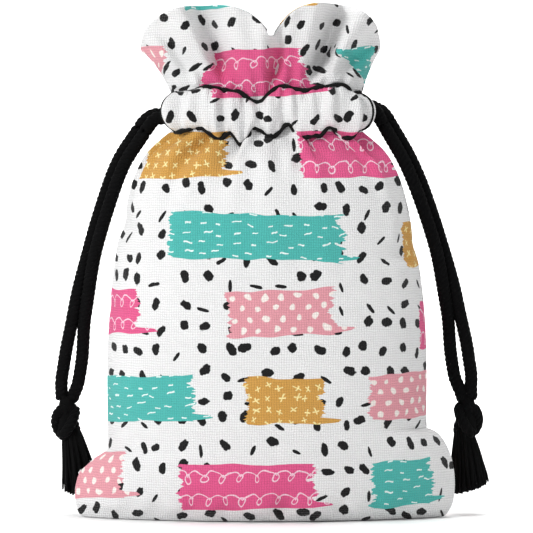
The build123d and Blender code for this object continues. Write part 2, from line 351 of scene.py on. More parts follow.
# The ruffle's hem: two lobes, each as its middle, half width towards the middle and outwards, and top.
HEM_LOBES = ((-23.0, 26.0, 28.5, 199.2), (23.5, 22.0, 23.0, 200.0))
HEM_SIDE_Z = 178.0
HEM_DIP_Z = 187.5
RUFFLE_ROWS = 40
RUFFLE_FLARES = (0.37, 0.23)  # how much wider than the neck its left and right halves get
RUFFLE_LEAN = 13.5  # how far its hem stands out in front or behind
RUFFLE_THICKNESS = 1.4  # a folded edge: two layers of cloth
HEM_ROLL = (0.03, 1.8, 1.0)  # how far the hem rolls: inwards at the sides, outwards, and down
HEM_END_DROP = 3.0
GATHER_FADE = 0.3  # how far up, as a share of the ruffle, its fine gathers fade
# Its deep folds: place along x at the hem, depth and width.
FOLD_VALLEYS = (
    (-46.0, 5.0, 4.5), (-26.0, 10.0, 5.5), (4.0, 8.0, 4.2), (29.5, 12.0, 5.5), (47.0, 4.0, 4.5),
)


def half_columns():
    """t from -1 to 1, denser towards the side seams."""
    s = np.linspace(0, 1, COLUMNS)
    s = 0.75 * s + 0.25 * np.sin(s * np.pi / 2)
    return np.concatenate([-s[:0:-1], s])


def ear(z, side):
    """How far a lower corner stands out past the belly at a height."""
    reach, tip, top, foot = EARS[side]
    above = reach * np.maximum(1 - (np.clip(z - tip, 0, top - tip) / (top - tip)) ** 2, 0) ** 0.62
    drop = np.clip((tip - z) / tip, 0, 1)
    below = reach - foot * (1 - np.sqrt(1 - drop**2))
    return np.where(z < tip, below, above)


def shoulder(z):
    """1 up to the belly, falling to 0 at the neck."""
    s = np.clip((z - BELLY_Z) / (NECK_Z - BELLY_Z), 0, 1)
    return (1 - s**2.4) ** 0.73


def body_half_width(z, side):
    return NECK_HALF_WIDTH + (BELLY_HALF_WIDTH - NECK_HALF_WIDTH) * shoulder(z) + ear(z, side)


def body_half_depth(z):
    rounded = BASE_DEPTH + (LOWER_DEPTH - BASE_DEPTH) * np.sqrt(1 - (1 - np.clip(z / EDGE_Z, 0, 1)) ** 2)
    swell = np.clip((z - EDGE_Z) / (BELLY_Z - EDGE_Z), 0, 1)
    lower = LOWER_DEPTH + (BELLY_DEPTH - LOWER_DEPTH) * swell * (2 - swell)
    upper = NECK_DEPTH + (BELLY_DEPTH - NECK_DEPTH) * shoulder(z)
    return np.where(z < EDGE_Z, rounded, np.where(z < BELLY_Z, lower, upper))


def body_points(face, t, heights):
    """The body's smooth shape. On the base, heights are negative and count inwards from its edge."""
    z = np.maximum(heights, 0)[:, None]
    share = np.clip(1 + heights / BASE_DEPTH, 0, 1)[:, None]  # on the base, how far out from its middle
    width = np.where(t < 0, body_half_width(z, -1), body_half_width(z, 1))
    power = EDGE_POWER + (BELLY_POWER - EDGE_POWER) * np.clip((z - EDGE_Z) / (BELLY_Z - EDGE_Z), 0, 1)
    x = width * np.sin(t * np.pi / 2)
    y = body_half_depth(z) * np.cos(t * np.pi / 2) ** (2 * power) * share
    line = through(LOWER_LINE, ring(t, SEWN_OFFSET)[0])
    tuck = TUCK_DEPTH * np.sqrt(np.clip((z - NECK_Z) / TUCK_HEIGHT, 0, 1))
    ring_x, ring_y = ring(t, SEWN_OFFSET - tuck)
    rise = np.clip((z - PINCH_START) / (NECK_Z - PINCH_START), 0, 1)  # on the way to the ring
    x = x + (ring_x - x) * rise**6
    y = y + (ring_y - y) * rise**5
    z = z + (line - NECK_Z) * rise**2
    return np.stack([x, face * y, z], axis=-1)


def resample(values, places):
    """Values between the rows of a grid, on a smooth curve through them."""
    last = len(values) - 1
    i = np.clip(np.floor(places).astype(int), 0, last - 1)
    t = (places - i).reshape(-1, *[1] * (values.ndim - 1))
    before, after = values[np.maximum(i - 1, 0)], values[np.minimum(i + 2, last)]
    return between(before, values[i], values[i + 1], after, t)


def settle_body():
    """Simulates the body as a filled bag of cloth, cut slightly too big and held at its neck and base.
    Gives how far the cloth moved, in millimetres, on a coarse grid of each face."""
    t = np.linspace(-1, 1, SETTLE_COLUMNS)
    heights = SETTLE_HEIGHTS
    grids = [body_points(face, t, heights) for face in FACES.values()]
    everything = np.concatenate([g.reshape(-1, 3) for g in grids])
    points, number = np.unique(np.round(everything, 3), axis=0, return_inverse=True)
    number = number.reshape(2, len(heights), len(t))
    faces = []
    for grid, turn in ((number[0], 1), (number[1], -1)):
        faces += [list(dict.fromkeys(q))[::turn] for q in grid_quads(grid).tolist()]
    faces = [f for f in faces if len(f) > 2]

    mesh = bpy.data.meshes.new("settling")
    mesh.from_pydata((points * MM * SETTLE_SCALE).tolist(), [], faces)
    cloth = bpy.data.objects.new("settling", mesh)
    bpy.context.scene.collection.objects.link(cloth)
    pins = cloth.vertex_groups.new(name="pins")
    held = (points[:, 2] < SETTLE_HELD_Z) | np.isin(np.arange(len(points)), number[:, -2:].ravel())
    pins.add(np.flatnonzero(held).tolist(), 1.0, "REPLACE")
    settings = cloth.modifiers.new("Cloth", "CLOTH").settings
    settings.quality = 6
    settings.mass = 0.3
    settings.tension_stiffness = 12
    settings.compression_stiffness = 12
    settings.shear_stiffness = 4
    settings.bending_stiffness = 0.25
    settings.shrink_min = SETTLE_EXTRA_CLOTH
    settings.use_pressure = True
    settings.uniform_pressure_force = 4
    settings.effector_weights.gravity = 0
    settings.vertex_group_mass = "pins"
    for frame_number in range(1, SETTLE_FRAMES + 1):
        bpy.context.scene.frame_set(frame_number)
    settled = cloth.evaluated_get(bpy.context.evaluated_depsgraph_get()).to_mesh()
    after = np.empty(len(points) * 3, np.float32)
    settled.vertices.foreach_get("co", after)
    bpy.data.objects.remove(cloth)
    bpy.context.scene.frame_set(1)
    moved = after.reshape(-1, 3) / MM / SETTLE_SCALE - points
    moved[:, 0] *= SETTLE_SIDEWAYS
    size = np.linalg.norm(moved, axis=1, keepdims=True)
    moved *= SETTLE_CAP * np.tanh(size / SETTLE_CAP) / np.maximum(size, 1e-6)
    return t, heights, [moved[n] for n in number]


def body_grid(face, settled):
    """Rows from the middle of the base, out to the bottom edge, and up to the lower sewn line.
    Gives the outer and inner points, and each row's nominal height (negative on the base)."""
    t = half_columns()
    heights = np.concatenate([
        np.linspace(-1, 0, BASE_ROWS, endpoint=False) * BASE_DEPTH,
        EDGE_Z * (1 - np.cos(np.linspace(0, np.pi / 2, EDGE_ROWS, endpoint=False))),
        np.arange(EDGE_Z, NECK_Z, BODY_STEP),
        NECK_Z + TUCK_HEIGHT * np.array([0, 0.1, 0.35, 0.7, 1.0]),
    ])
    points = body_points(face, t, heights)
    coarse_t, coarse_heights, moved = settled
    rows = np.interp(heights, coarse_heights, np.arange(len(coarse_heights)))
    columns = np.interp(t, coarse_t, np.arange(len(coarse_t)))
    shift = resample(moved[0 if face < 0 else 1], rows)
    points += resample(shift.swapaxes(0, 1), columns).swapaxes(0, 1)

    z = np.maximum(heights, 0)[:, None]
    from_seam = (1 - np.abs(t)) * RING_QUARTER
    bulge = SEAM_BULGE * (1 - np.exp(-from_seam / SEAM_BULGE_WIDTH)) * ease(0, 4, z)
    points[..., 1] = face * np.maximum(face * points[..., 1], bulge) * np.minimum(from_seam / 0.1, 1)
    gather = waves(t * RING_QUARTER, BODY_GATHER_LENGTH, BODY_GATHER_PHASES[face])
    depth = BODY_GATHER_DEPTH * ease(118, 148, z) * (1 - 0.5 * ease(148, 153, z))
    depth = depth + BODY_WAVE_DEPTH * ease(60, 120, z)
    calm = np.clip((1 - np.abs(t)) / 0.08, 0, 1)  # at the seams the cloth is smooth
    push = surface_normals(points) * -face
    outer = points + push * (depth * gather * calm)[..., None]
    # At the seam the skins meet, and neither passes the other, the floor or the middle plane.
    outer[..., 0] -= np.sign(t) * SEAM_SINK * np.exp(-((from_seam / SEAM_SINK_WIDTH) ** 2)) * (z > 1)
    outer[..., 1] = face * np.maximum(face * outer[..., 1], 0)
    inner = outer - push * CLOTH
    outer[..., 2] = np.maximum(outer[..., 2], 0)
    inner[..., 2] = np.maximum(inner[..., 2], 0.3)
    inner[..., 1] = face * np.maximum(face * inner[..., 1], 0.05)
    return outer, inner, heights


def cloth_uv(points, rows, face):
    """Cloth coordinates of a grid: arc length from the middle along each row, and the row's height."""
    middle = points.shape[1] // 2
    flat = points.copy()
    flat[..., 2] = 0
    step = np.linalg.norm(np.diff(flat, axis=1), axis=2)
    arc = np.concatenate([np.zeros((len(points), 1)), np.cumsum(step, axis=1)], axis=1)
    arc = (arc - arc[:, middle : middle + 1]) * -face
    return np.stack([arc, rows + np.zeros_like(arc)], axis=-1)


def bend_with_neck(obj, half):
    """Bakes the placement of a half panel, or of a side seam allowance, into its points."""
    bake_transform(obj)


def gather_with_neck(obj, half):
    """Bakes the placement of a piece of the neck into its points."""
    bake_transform(obj)


def make_sheet(part, word, grids, materials, follow):
    """The two halves of a sheet of the front or back, cut at the middle column of its grids: outer and
    inner points, then the cloth coordinates of both. follow is called with each half and its side."""
    middle = grids[0].shape[1] // 2
    for half, columns in (("left", slice(0, middle + 1)), ("right", slice(middle, None))):
        piece = shell(f"{word}_{part}_{half}", *[g[:, columns] for g in grids], materials, -FACES[word])
        stand_in(f"{word}_{part}")
        follow(piece, half)


def make_panels(outside, inside):
    settled = settle_body()
    for word, face in FACES.items():
        outer, inner, heights = body_grid(face, settled)
        rows = np.where(heights[:, None] > 0, outer[..., 2], heights[:, None])
        uv = cloth_uv(outer, rows, face)
        make_sheet("panel", word, [outer, inner, uv, uv], [outside, inside], bend_with_neck)


def casing_lines(t):
    """Heights of the lower and upper sewn lines at t."""
    x = ring(t, SEWN_OFFSET)[0]
    return through(LOWER_LINE, x), through(UPPER_LINE, x)


def casing_skin(t, v, face, out, back):
    """One skin of the casing: v runs 0 to 1 up the outer wall and 1 to 2 down the inner one. out and
    back are how far the two walls stand off the sewn lines. The outer wall puffs up unevenly, with
    finer pleats along its sewn lines."""
    low, high = casing_lines(t)
    u = t * RING_QUARTER
    mouth = ease(*MOUTH_T, np.abs(t))
    bulge = np.abs(np.sin(np.pi * v)) ** (0.7 + 0.3 * mouth)
    outer_wall = v <= 1
    pinch = np.exp(-((v / 0.25) ** 2)) + np.exp(-(((1 - v) / 0.25) ** 2))
    puff = CASING_PUFF * waves(u, 7.5, 1.1 + face) + CASING_PLEATS * pinch * waves(u, 4.0, 0.3)
    puff = 1 + puff * outer_wall
    offset = SEWN_OFFSET + np.where(outer_wall, out + CASING_MOUTH * mouth, -back) * bulge * puff
    up = 0.5 - 0.5 * np.cos(np.pi * v)
    x, y = ring(t, offset)
    lean = 0.3 * waves(u, 6.0, 3.0) * bulge
    return np.stack([x, face * y, low + (high - low) * up + lean], axis=-1)


def make_casings(outside, inside):
    t = np.linspace(-SLIT_T, SLIT_T, 181)[None, :]
    v = np.linspace(0, 2, 41)[:, None]
    for word, face in FACES.items():
        outer, inner = [casing_skin(t, v, face, *walls) for walls in (CASING_OUTER, CASING_INNER)]
        middle = inner[..., 2].mean(axis=0, keepdims=True)
        inner[..., 2] = middle + (inner[..., 2] - middle) * CASING_FLAT
        uv = cloth_uv(outer, outer[..., 2], face)
        make_sheet("casing", word, [outer, inner, uv, uv], [outside, inside], gather_with_neck)


def hem_height(x):
    """The two-lobed hem's height."""
    best = HEM_DIP_Z + (HEM_SIDE_Z - HEM_DIP_Z) * ease(8, 14, np.abs(x))
    for middle, inner_half, outer_half, top in HEM_LOBES:
        half = np.where(np.abs(x) < abs(middle), inner_half, outer_half)
        inside = np.maximum(1 - np.abs((x - middle) / half) ** 2.6, 0) ** 0.5
        best = np.maximum(best, HEM_SIDE_Z + (top - HEM_SIDE_Z) * inside)
    return best


def ruffle_grid(face, layer):
    """The free cloth above the casing. layer is 0 for the outside and 1 for the folded-in inside."""
    t = half_columns()[None, :] * 0.99
    h = np.linspace(0, 1, RUFFLE_ROWS)[:, None]
    ring_x, y = ring(t, SEWN_OFFSET)
    widest = np.where(ring_x < 0, *RUFFLE_FLARES)
    roll_in, roll_out, roll_down = HEM_ROLL
    flare = 1 + widest * ease(-0.25, 1.0, h) - roll_in * ease(0.85, 1.0, h)
    x = ring_x * flare
    seen = x if face < 0 else -x  # both faces have the same folds, seen from outside
    low = casing_lines(t)[1]
    high = hem_height(x) - HEM_END_DROP * ease(0.88, 1.0, np.abs(t))
    z = low + (high - low) * h - roll_down * ease(0.88, 1.0, h)
    lean = RUFFLE_LEAN * ease(0, 1, h) * np.sqrt(np.maximum(1 - (t * 0.98) ** 2, 0))
    y = y + lean + roll_out * ease(0.8, 1.0, h)
    points = np.stack([x, face * y, z], axis=-1)
    if layer:
        points = points - surface_normals(points) * -face * RUFFLE_THICKNESS
        points[..., 0] = np.clip(points[..., 0], -np.abs(x) + 0.4, np.abs(x) - 0.4)

    across = seen / (0.55 + 0.45 * h)  # the folds run together towards the sewn line
    folds = sum(deep * np.exp(-(((across - place) / wide) ** 2)) for place, deep, wide in FOLD_VALLEYS)
    depth = -folds * ease(0.0, 0.45, h) + 1.2 * waves(across, 17.0, 0.5) * h
    fine = 1.1 * waves(t * RING_QUARTER, 6.5, 0.9 - face) * np.exp(-h / GATHER_FADE) * ease(0, 0.06, h)
    calm = np.clip((1 - np.abs(t)) / 0.2, 0, 1)
    y = face * points[..., 1] + (depth + fine) * calm
    points[..., 1] = face * np.maximum(y, 0.08)
    return points


def make_ruffles(outside):
    for word, face in FACES.items():
        outer, inner = ruffle_grid(face, 0), ruffle_grid(face, 1)
        uv = cloth_uv(outer, outer[..., 2], face)
        uv_inner = np.stack([uv[..., 0], 2 * HEM_Z - uv[..., 1]], axis=-1)
        make_sheet("ruffle", word, [outer, inner, uv, uv_inner], [outside, outside], gather_with_neck)


def thread_path(name, row, face, t):
    """A row of stitches along its sewn line: it dives under the cloth here and there."""
    seen = ring(t, SEWN_OFFSET)[0] * -face
    gaps = [ease(a - 0.5, a, seen) * (1 - ease(b, b + 0.5, seen)) for a, b in THREAD_GAPS[name]]
    sway = 0.5 * waves(t * RING_QUARTER, 13.0, 2.0 * row + face)
    x, y = ring(t, SEWN_OFFSET + THREAD_STAND_OFF + sway - THREAD_DIVE * sum(gaps))
    return np.stack([x, face * y, casing_lines(t)[row]], axis=1)


def mouth_path(face, side):
    """Round the outer edge of a casing's open end: a thin black line, partly the hem's edge and partly
    painted shadow.
    """
    v = np.linspace(0.04, 0.96, 24)
    out, back = CASING_OUTER
    return casing_skin(np.full(24, side * 0.985 * SLIT_T), v, face, out + 0.1, back)


def make_stitches(thread):
    """Thick black thread along both sewn lines of both faces, and a thin black line round the casings' open
    ends that is partly hem edge and partly painted shadow.
    """
    for word, face in FACES.items():
        for row, name in enumerate(("lower", "upper")):
            for half, side in SIDES.items():
                t = side * np.linspace(0, SLIT_T, 150)
                radius = THREAD_RADIUS + 0.18 * waves(t * RING_QUARTER, 6.0, row + face)
                tubes = [(thread_path(name, row, face, t), radius, 8)]
                # The line round the open end is partly the hem's edge and partly a painted shadow along it.
                if name == "upper":
                    tubes.append((mouth_path(face, side), 0.42, 6))
                node = f"{word}_{name}_stitch"
                piece = bundle(f"{word}_{name}_thread_{half}", tubes, thread, node)
                gather_with_neck(piece, half)


# ---- cords

ROPE_STEP = 0.55
ROPE_PITCH = 8.0
STRANDS_IN_ROPE = 4
ROPE_RADIUS = CORD_RADIUS * 1.07
HIDDEN_ROPE_RADIUS = CORD_RADIUS * 0.84  # inside the casings, where it must clear the cloth
STRAND_HALF_PITCH = CORD_RADIUS - 0.1  # half of how far apart the two strands of a cord lie
EXIT_TURN = math.radians(60)  # the arc in which a strand comes out of its casing
EXIT_SAG = {"left": 0.0, "right": 3.0}  # how far a cord sinks on its way out of the slit
TAIL_X = {"left": 48.9, "right": 46.7}  # how far out the tails begin
TAIL_DROP = {"left": 5.6, "right": 8.1}  # and how far below their cords' level
TAIL_TOP_Z = 150.6
# A tail's course to its knot, as shares of the way outwards, forwards and, counted from below, up.
TAIL_COURSE = (
    (0.27, 0.07, 0.88), (0.475, 0.22, 0.725), (0.675, 0.43, 0.53), (0.825, 0.65, 0.32),
    (0.92, 0.87, 0.13), (1, 1, 0),
)
PAIR_TURN = math.radians(52)  # how far the pair of strands is turned from side by side, at the hinge
PAIR_UNTURNS = (45, 80)  # between these drops below the hinge it turns side by side,
PAIR_PARTS = (72, 90)  # between these it parts,
PAIR_CLOSES = (97, 108)  # and between these it closes above the knot
KNOT_OUT = 1.6  # how much further out the knots hang than the frame's
KNOT_DROP = {"left": 3.1, "right": 2.3}
KNOT_ENTRY = 6.0  # the strands' ends are this far above the middle of the frame's knot
KNOT_LOOPS = (2.8, 1.45, 3.5)  # how wide and how deep its three loops are, and how far it is stretched
KNOT_ROPE_RADIUS = 2.2
KNOT_CORE = (7.0, -8.4)  # where the strands inside it begin and end
YARNS = 130
YARN_RADIUS = 0.58
GOLDEN_ANGLE = 2.39996
TASSEL_NECK = 2.7  # radius
# Each tassel: how far its hem lies right of its middle, how much higher its right edge hangs than its
# left one, and its length as a share of the frame's.
TASSEL_SHAPES = {"left": (4.3, -1.0, 0.93), "right": (2.4, 4.0, 0.87)}


def knot_centre(word):
    low, high = box_mm(f"{word}_knot")
    middle = (low + high) / 2
    return np.array([middle[0] + SIDES[word] * KNOT_OUT, middle[1], high[2] - (high[0] - low[0]) / 2])


def tail_centres(word):
    """Centre points of the pair of strands, from the hinge to the knot, for a right-hand tail."""
    x, y, z = knot_centre(word) * [SIDES[word], 1, 1] + [0, 0, KNOT_ENTRY]
    top = TAIL_X[word]
    course = [(top, 0.0, LEVELS[word] - TAIL_DROP[word])]
    for out, forward, up in TAIL_COURSE:
        course.append((top + (x - top) * out, y * forward, z + (TAIL_TOP_Z - z) * up))
    return np.array(course)


def strand_centres(word, strand):
    """One strand of a tail. strand is -1 for the inner one and 1 for the outer one."""
    points = smooth_path(tail_centres(word), 12)
    tangents = path_tangents(points)
    drop = points[0, 2] - points[:, 2]
    turn = PAIR_TURN * (1 - ease(*PAIR_UNTURNS, drop))
    apart = STRAND_HALF_PITCH * (1 + 0.42 * ease(*PAIR_PARTS, drop) - 0.7 * ease(*PAIR_CLOSES, drop))
    out = strand * apart * np.cos(turn)
    points[:, 0] += out * -tangents[:, 2]
    points[:, 2] += out * tangents[:, 0]
    points[:, 1] += strand * STRAND_HALF_PITCH * np.sin(turn)
    return points * [SIDES[word], 1, 1]


def exit_centres(word, strand):
    """A strand from the casing's mouth, out and down to the tail's hinge."""
    tail = strand_centres(word, strand)
    along = np.linspace(0, 1, 12)
    angle = (1 - along) * EXIT_TURN
    radius = (SLIT_HALF - STRAND_HALF_PITCH) / (1 - math.cos(EXIT_TURN))
    start_x = RING_STRAIGHT + RING_RADIUS * math.cos(SLIT_TURN)
    x = start_x + radius * (math.sin(EXIT_TURN) - np.sin(angle))
    y = STRAND_HALF_PITCH + radius * (1 - np.cos(angle))
    rise = tail[0, 2] - tail_centres(word)[0, 2]
    z = LEVELS[word] + rise * ease(0, 1, along) - EXIT_SAG[word] * along**2
    across = np.stack([SIDES[word] * x, strand * y, z], axis=1)
    begin, end = across[-1], tail[0]
    down = tail[1] - end
    corner = end + down * ((begin[2] - end[2]) / down[2])
    s = np.linspace(0, 1, 14)[:, None]
    bend = begin * (1 - s) ** 2 + 2 * corner * s * (1 - s) + end * s**2
    return np.concatenate([across[:-1], bend[:-1]])


def run_centres(word, face, side):
    """Half of a cord's run inside the front or back casing, from the middle to one slit."""
    t = side * np.linspace(0, SLIT_T, 60)
    low, high = casing_lines(t)
    calm = ease(0.6, 0.8, np.abs(t))
    level = (low + high) / 2 * (1 - calm) + CASING_Z * calm
    x, y = ring(t, 0)
    return np.stack([x, face * y, level + (LEVELS[word] - CASING_Z)], axis=1)


def bight_centres(word):
    """Where a cord crosses the far slit, from the front casing to the back one."""
    angle = np.linspace(-SLIT_TURN, SLIT_TURN, 24)
    x = -SIDES[word] * (RING_STRAIGHT + RING_RADIUS * np.cos(angle))
    return np.stack([x, RING_RADIUS * np.sin(angle), np.full_like(x, LEVELS[word])], axis=1)


def rope_tubes(points, radius):
    """Twisted strands round a path, as a bundle's tubes."""
    points = evenly(points, ROPE_STEP)
    across, up = path_frames(points)
    turn = np.arange(len(points)) * ROPE_STEP * 2 * np.pi / ROPE_PITCH
    tubes = []
    for k in range(STRANDS_IN_ROPE):
        a = (turn + 2 * np.pi * k / STRANDS_IN_ROPE)[:, None]
        centre = points + 0.5 * radius * (np.cos(a) * across + np.sin(a) * up)
        tubes.append((centre, 0.5 * radius, 8))
    return tubes


def make_rope(name, points, material, node, radius=ROPE_RADIUS):
    return bundle(name, rope_tubes(points, radius), material, node)


def make_runs(material):
    """The cords inside the casings."""
    for word in SIDES:
        for face_word, face in FACES.items():
            for half, side in SIDES.items():
                node = f"{word}_cord_{face_word}_run"
                points = run_centres(word, face, side)
                run = make_rope(f"{node}_{half}", points, material, node, HIDDEN_ROPE_RADIUS)
                gather_with_neck(run, half)


def make_bights(material):
    """Each cord where it crosses the far slit."""
    for word, far in (("left", "right"), ("right", "left")):
        node = f"{word}_cord_bight"
        bight = make_rope(f"{word}_cord_far_bight", bight_centres(word), material, node, CORD_RADIUS)
        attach(bight, f"neck_{far}")


def make_tails(material):
    """The two strands of each cord outside its casing: the bends down, then the long tails."""
    for word, side in SIDES.items():
        for strand, place in ((-1, "inner"), (1, "outer")):
            name, node = f"{word}_{place}_strand_at_mouth", f"{word}_cord_exit"
            leaving = make_rope(name, exit_centres(word, strand), material, node)
            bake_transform(leaving)
            name, node = f"{word}_tail_{place}", f"{word}_{place}_strand"
            tail = make_rope(name, strand_centres(word, strand), material, node)
            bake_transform(tail)


def knot_path():
    """An overhand knot, drawn tight: the closed curve of a trefoil, stretched upwards."""
    a = np.linspace(0, 2 * np.pi, 150)
    wide, deep, stretch = KNOT_LOOPS
    reach = wide + deep * np.cos(3 * a)
    return np.stack([reach * np.cos(2 * a), reach * np.sin(2 * a), -stretch * deep * np.sin(3 * a)], axis=1)


def make_knots(material):
    for word, side in SIDES.items():
        centre = knot_centre(word)
        path = knot_path() * [side, 1, 1] + centre + [0, 0, -KNOT_DROP[word]]
        core = centre + np.array([[0, 0, z] for z in np.linspace(*KNOT_CORE, 12)])
        core_radius = 2.2 + 1.6 * np.sin(np.linspace(0.1, np.pi - 0.35, 12))
        tubes = rope_tubes(path, KNOT_ROPE_RADIUS) + [(core, core_radius, 16)]
        piece = bundle(f"{word}_overhand_knot", tubes, material, f"{word}_knot")
        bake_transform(piece)


def make_tassels(material):
    """The cord's loose yarns below the knot, fanned out, with their hems to the right."""
    random = np.random.default_rng(7)
    s = np.linspace(0, 1, 15)
    for word in SIDES:
        low, high = box_mm(f"{word}_tassel")
        middle = (low + high) / 2
        reach = (high[0] - low[0]) / 2
        lean, tilt, share = TASSEL_SHAPES[word]
        length = share * (high[2] - low[2])
        tubes = []
        for i in range(YARNS):
            r = math.sqrt((i + 0.5) / YARNS)
            angle = i * GOLDEN_ANGLE + random.uniform(-0.2, 0.2)
            spread = reach * random.uniform(0.88, 0.98)
            cut = length * random.uniform(0.97, 1.02) * (1 - 0.07 * r**4)
            wave = random.uniform(0.15, 0.5)
            phase = random.uniform(0, 6.28)
            radius = TASSEL_NECK * r + (spread - TASSEL_NECK) * r * s**0.7
            x = middle[0] + radius * np.cos(angle) + lean * s**0.9 + wave * np.sin(phase + 5 * s) * s
            y = middle[1] + 0.82 * radius * np.sin(angle) + wave * np.cos(phase + 4 * s) * s
            z = high[2] + 3.0 - (cut + 3.0) * s + tilt * s * np.cos(angle) * r * 0.5
            thick = YARN_RADIUS * (1 - 0.35 * ease(0.85, 1.0, s))
            tubes.append((np.stack([x, y, z], axis=1), thick, 6))
        piece = bundle(f"{word}_tassel_yarns", tubes, material, f"{word}_tassel")
        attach(piece, f"{word}_tassel_end")


# ---- seams and tacks

BAR_PITCH = 0.9
BAR_RADIUS = 0.22
SEAM_STITCH = 1.5
SEAM_WIDTH = 4.0
SEAM_INSET = 3.0  # the side seams' allowances keep this far inside the pouch's outline


def make_tacks(thread):
    """Bars of thread wound across each slit."""
    for word in SIDES:
        low, high = box_mm(f"{word}_slit_tacks")
        x = (low[0] + high[0]) / 2
        y = np.linspace(low[1], high[1], 160)
        wind = y * 2 * np.pi / BAR_PITCH
        tubes = []
        for z in (low[2] + 0.5, high[2] - 0.5):
            path = [x + BAR_RADIUS * np.cos(wind), y, z + BAR_RADIUS * np.sin(wind)]
            tubes.append((np.stack(path, axis=1), 0.26, 6))
        piece = bundle(f"{word}_slit_thread_bars", tubes, thread, f"{word}_slit_tacks")
        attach(piece, f"neck_{word}")


def overlock(points, across, name, materials):
    """A seam allowance: a strip of doubled cloth, reaching across from points, and a zigzag of thread."""
    points = evenly(points, SEAM_STITCH)
    width = np.linalg.norm(across)
    direction = np.asarray(across) / width
    normal = np.cross(path_tangents(points), direction)
    corners = ((0, -0.5), (1, -0.5), (1, 0.5), (0, 0.5))
    strip = [points + direction * width * edge + normal * layer for edge, layer in corners]
    faces = ring_faces(len(points), 4)
    out = np.where(np.arange(len(points)) % 2, 0.95, 0.35)[:, None]
    zigzag = points + direction * width * out + normal * 0.62
    rings, thread_faces = tube_parts(zigzag, 0.22, 6, len(points) * 4)
    material = [0] * len(faces) + [1] * len(thread_faces)
    faces += thread_faces
    uv = np.zeros((sum(len(f) for f in faces), 2))
    all_points = np.concatenate([np.stack(strip, axis=1).reshape(-1, 3), rings])
    return new_object(name, all_points, faces, materials, uv, material)


def make_seams(cloth, thread):
    for word, side in SIDES.items():
        z = np.linspace(6.0, NECK_Z - 4, 60)
        width = np.minimum(body_half_width(z, side), body_half_width(z + 5, side))
        x = side * (width - SEAM_INSET - 2.0 * ease(125, 150, z))
        points = np.stack([x, np.zeros_like(z), z], axis=1)
        piece = overlock(points, (-side * SEAM_WIDTH, 0, 0), f"{word}_side_seam_allowance", [cloth, thread])
        stand_in(f"{word}_side_seam")
        bend_with_neck(piece, word)
    low, high = box_mm("bottom_seam")
    points = np.array([(x, 0, low[2] + 0.1) for x in np.linspace(low[0], high[0], 60)])
    piece = overlock(points, (0, 0, SEAM_WIDTH - 0.2), "bottom_seam_allowance", [cloth, thread])
    stand_in("bottom_seam")
    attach(piece, "pouch")


# ---- materials


class Value:
    """A number, vector or colour inside a shader. Arithmetic on it adds math nodes."""

    def __init__(self, nodes, socket):
        self.nodes = nodes
        self.socket = socket


def operator(name):
    """A method that adds the math node of this name."""
    return lambda value, *others: value.nodes.math(name, value, *others)


Value.__add__ = operator("ADD")
Value.__sub__ = operator("SUBTRACT")
Value.__mul__ = operator("MULTIPLY")
Value.__truediv__ = operator("DIVIDE")
Value.__pow__ = operator("POWER")
Value.__abs__ = operator("ABSOLUTE")


class Nodes:
    """Short calls that add shader nodes and link them. An input takes a Value or a plain number."""

    def __init__(self, tree):
        self.tree = tree

    def add(self, kind, settings=None, inputs=None):
        node = self.tree.nodes.new(kind)
        for key, setting in (settings or {}).items():
            setattr(node, key, setting)
        for key, value in (inputs or {}).items():
            if isinstance(value, Value):
                self.tree.links.new(value.socket, node.inputs[key])
            else:
                node.inputs[key].default_value = value
        return node

    def value(self, kind, settings=None, inputs=None, output=0):
        """One output of a new node."""
        return Value(self, self.add(kind, settings, inputs).outputs[output])

    def math(self, operation, *values):
        return self.value("ShaderNodeMath", {"operation": operation}, dict(enumerate(values)))

    def vector(self, x, y):
        return self.value("ShaderNodeCombineXYZ", inputs={0: x, 1: y})

    def scaled(self, vector, factor):
        return self.value("ShaderNodeVectorMath", {"operation": "SCALE"}, {0: vector, "Scale": factor})

    def split(self, value, kind="XYZ"):
        """The three parts of a vector, or of a colour if kind is Color."""
        node = self.add(f"ShaderNodeSeparate{kind}", inputs={0: value})
        return [Value(self, socket) for socket in node.outputs]

    def step(self, value, edge, soft):
        """1 where value is under edge, with a soft border."""
        inputs = {0: value, 1: edge - soft, 2: edge + soft, 3: 1.0, 4: 0.0}
        return self.value("ShaderNodeMapRange", {"interpolation_type": "SMOOTHSTEP"}, inputs)

    def mix(self, factor, a, b, blend="MIX"):
        """A mix of two colours."""
        settings = {"data_type": "RGBA", "blend_type": blend}
        return self.value("ShaderNodeMix", settings, {0: factor, 6: a, 7: b}, output=2)

    def mix_vector(self, factor, a, b):
        return self.value("ShaderNodeMix", {"data_type": "VECTOR"}, {0: factor, 4: a, 5: b}, output=1)

    def noise(self, vector, scale, detail=2.0, roughness=0.5, dimensions="2D"):
        inputs = {"Vector": vector, "Scale": scale, "Detail": detail, "Roughness": roughness}
        return self.value("ShaderNodeTexNoise", {"noise_dimensions": dimensions}, inputs)

    def turn(self, x, y, angle):
        """x and y in axes turned by angle."""
        c, s = self.math("COSINE", angle), self.math("SINE", angle)
        return x * c + y * s, y * c - x * s

    def cells(self, vector, size, randomness):
        """Scattered cells of a size in millimetres: how far a place lies from the middle of its cell in
        x and y, and three random numbers that belong to the cell."""
        scaled = self.scaled(vector, 1 / size)
        inputs = {"Vector": scaled, "Scale": 1.0, "Randomness": randomness}
        cell = self.add("ShaderNodeTexVoronoi", {"voronoi_dimensions": "2D"}, inputs)
        middle = Value(self, cell.outputs["Position"])
        away = self.value("ShaderNodeVectorMath", {"operation": "SUBTRACT"}, {0: scaled, 1: middle})
        x, y, _ = self.split(away)
        r, g, b = self.split(Value(self, cell.outputs["Color"]), "Color")[:3]
        return x * size, y * size, r, g, b


